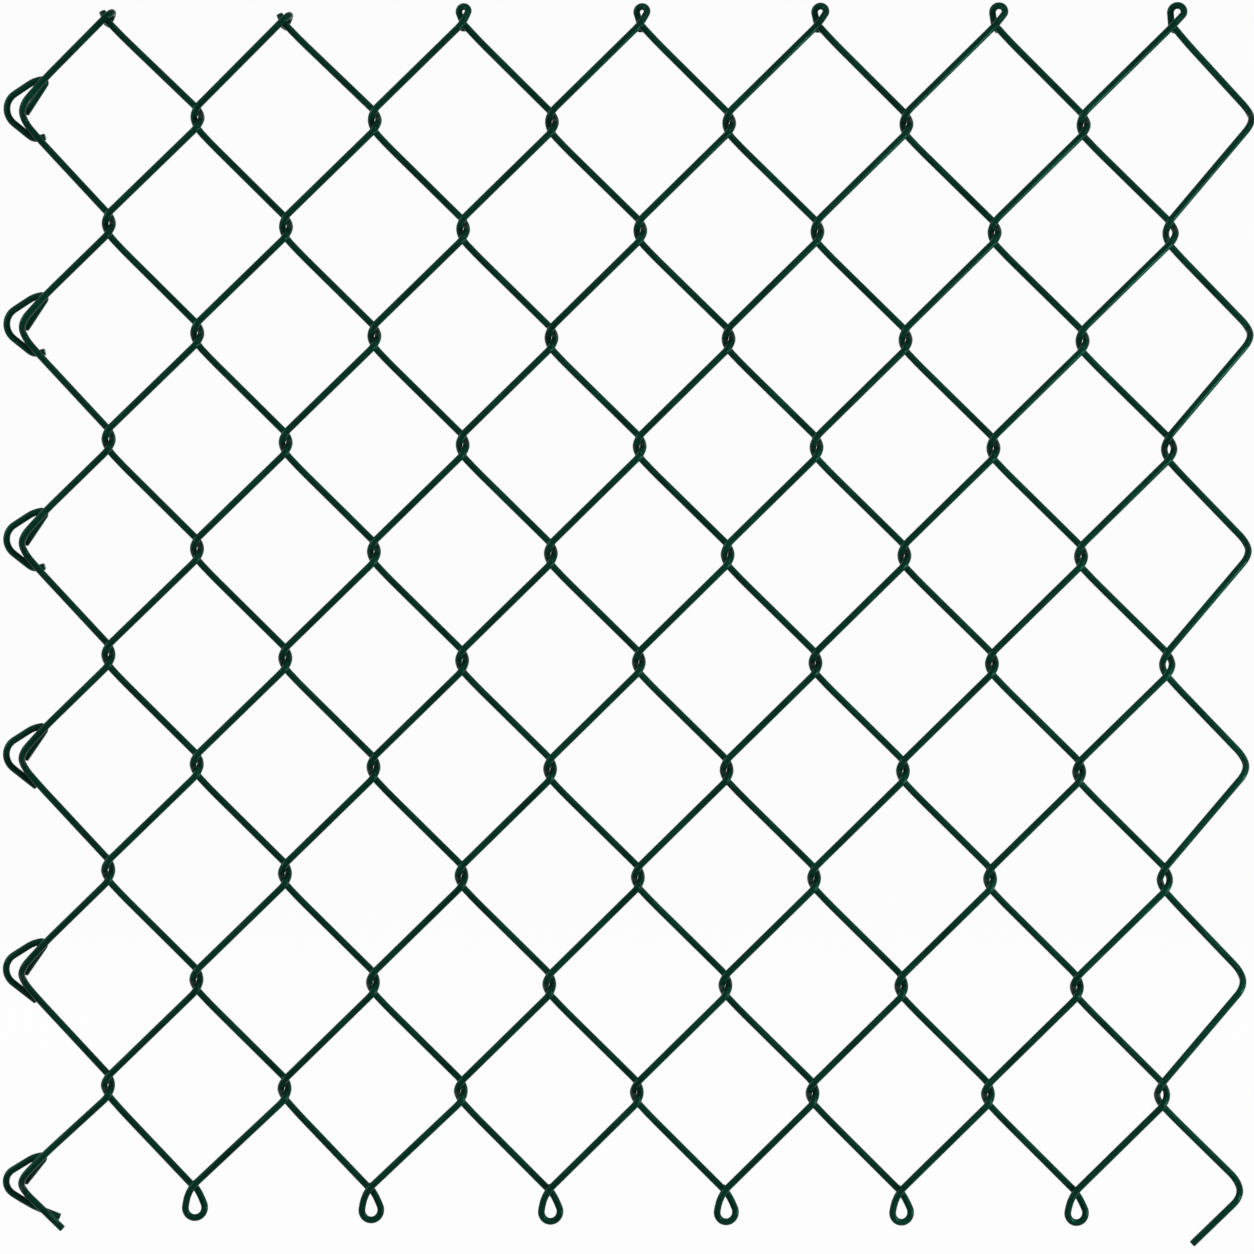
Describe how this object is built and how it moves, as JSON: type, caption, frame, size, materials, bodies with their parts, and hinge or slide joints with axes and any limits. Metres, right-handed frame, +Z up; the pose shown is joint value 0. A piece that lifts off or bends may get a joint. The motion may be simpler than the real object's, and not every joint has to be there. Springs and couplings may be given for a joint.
{
  "type": "chain link fence panel",
  "caption": "Square panel of green PVC-coated chain link mesh with knuckled edges and wire clips on one side, for closing a fence bay or as a mesh sample.",
  "frame": {"origin": "on the left-hand edge of the mesh where it is fixed to a post, at ground level, in the middle of the depth", "axes": "+X along the fence to the right, +Y away from the viewer through the mesh, +Z up"},
  "size_m": [0.4496, 0.0123, 0.4465],
  "materials": {
    "green_pvc_wire": "moss green PVC coat, semi-gloss, over galvanised steel wire"
  },
  "bodies": {
    "root": {"picket_01": "green_pvc_wire", "picket_02": "green_pvc_wire", "picket_03": "green_pvc_wire", "picket_04": "green_pvc_wire", "picket_05": "green_pvc_wire", "picket_06": "green_pvc_wire", "picket_07": "green_pvc_wire", "picket_08": "green_pvc_wire", "picket_09": "green_pvc_wire", "picket_10": "green_pvc_wire", "picket_11": "green_pvc_wire", "picket_12": "green_pvc_wire", "picket_13": "green_pvc_wire", "picket_14": "green_pvc_wire", "edge_clip_1": "green_pvc_wire", "edge_clip_2": "green_pvc_wire", "edge_clip_3": "green_pvc_wire", "edge_clip_4": "green_pvc_wire", "edge_clip_5": "green_pvc_wire", "edge_clip_6": "green_pvc_wire"}
  },
  "joints": []
}
